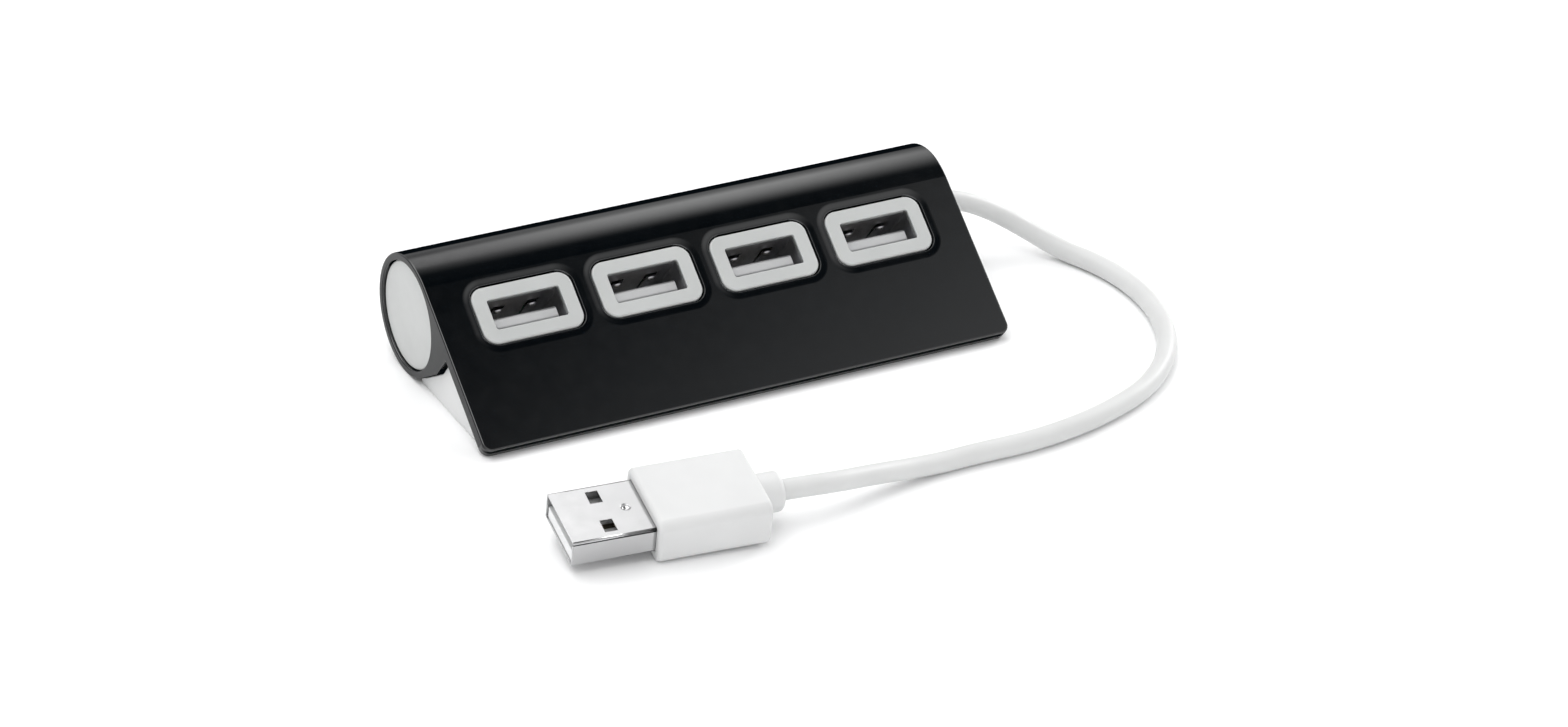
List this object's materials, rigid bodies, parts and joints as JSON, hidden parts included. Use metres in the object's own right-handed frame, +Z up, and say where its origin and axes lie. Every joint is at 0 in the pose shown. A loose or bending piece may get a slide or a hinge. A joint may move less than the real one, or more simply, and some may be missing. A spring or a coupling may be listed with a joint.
{
  "type": "usb hub",
  "caption": "Bar-shaped desktop USB hub: a black extruded tube and sloping plate with tilted ports, white caps and base, and a short captive cable with a USB-A plug.",
  "frame": {"origin": "under the middle of the tube's centre line, on the ground plane", "axes": "+X along the hub towards the cable's exit, -Y towards the side the ports face, +Z up"},
  "size_m": [0.1239, 0.0785, 0.0202],
  "materials": {
    "body": "black anodised, satin",
    "cap": "satin, slightly frosted",
    "white_plastic": "semi-gloss",
    "screw_steel": "blackened",
    "board": "solder mask",
    "chip": "matt",
    "capacitor": "matt",
    "crystal_can": "bright",
    "port_steel": "bright nickel",
    "tongue": "satin",
    "contact": "gold plated",
    "grommet": "satin",
    "jacket": "smooth satin",
    "overmould": "smooth satin",
    "plug_steel": "bright nickel",
    "wire_red": "smooth",
    "wire_white": "smooth",
    "wire_green": "smooth",
    "wire_black": "smooth"
  },
  "bodies": {
    "hub": {"body_extrusion": "body", "left_end_cap": "cap", "right_end_cap": "cap", "port_frame": "white_plastic", "base_cover": "white_plastic", "base_screws": "screw_steel", "circuit_board": "board", "hub_controller": "chip", "clock_crystal": "crystal_can", "port_capacitors": "capacitor", "chip_resistors": "chip", "port_1_shell": "port_steel", "port_2_shell": "port_steel", "port_3_shell": "port_steel", "port_4_shell": "port_steel", "port_1_insulator": "tongue", "port_2_insulator": "tongue", "port_3_insulator": "tongue", "port_4_insulator": "tongue", "port_1_contacts": "contact", "port_2_contacts": "contact", "port_3_contacts": "contact", "port_4_contacts": "contact", "cable_grommet": "grommet", "cable_tie": "grommet", "cable_hub_end": "jacket", "red_wire": "wire_red", "white_wire": "wire_white", "green_wire": "wire_green", "black_wire": "wire_black"},
    "cable_1": {"cable_section_1": "jacket"},
    "cable_2": {"cable_section_2": "jacket"},
    "cable_3": {"cable_section_3": "jacket"},
    "cable_4": {"cable_section_4": "jacket"},
    "cable_5": {"cable_section_5": "jacket"},
    "plug": {"cable_plug_end": "jacket", "plug_overmould": "overmould", "plug_inner_mould": "white_plastic", "plug_shell": "plug_steel", "plug_insulator": "tongue", "plug_contacts": "contact"}
  },
  "joints": [
    {"name": "cable_exit_swing", "type": "hinge", "parent": "hub", "child": "cable_1", "pos_m": [0.0486, 0, 0.0101], "axis": [0, 0, 1], "range_deg": [-2, 30]},
    {"name": "cable_bend", "type": "hinge", "parent": "cable_1", "child": "cable_2", "pos_m": [0.06875, -0.01056, 0.00179], "axis": [0, 0, 1], "range_deg": [-1, 14]},
    {"name": "cable_bend_2", "type": "hinge", "parent": "cable_2", "child": "cable_3", "pos_m": [0.07131, -0.03653, 0.00165], "axis": [0, 0, 1], "range_deg": [-1, 14]},
    {"name": "cable_bend_3", "type": "hinge", "parent": "cable_3", "child": "cable_4", "pos_m": [0.05273, -0.05492, 0.00165], "axis": [0, 0, 1], "range_deg": [-1, 14]},
    {"name": "cable_bend_4", "type": "hinge", "parent": "cable_4", "child": "cable_5", "pos_m": [0.02426, -0.05906, 0.00165], "axis": [0, 0, 1], "range_deg": [-1, 14]},
    {"name": "plug_swing", "type": "hinge", "parent": "cable_5", "child": "plug", "pos_m": [-0.01158, -0.06136, 0.00524], "axis": [0, 0, 1], "range_deg": [-10, 20]}
  ],
  "couplings": [
    {"joint": "cable_bend_2", "follows": "cable_bend", "ratio": 1},
    {"joint": "cable_bend_3", "follows": "cable_bend", "ratio": 1},
    {"joint": "cable_bend_4", "follows": "cable_bend", "ratio": 1}
  ]
}
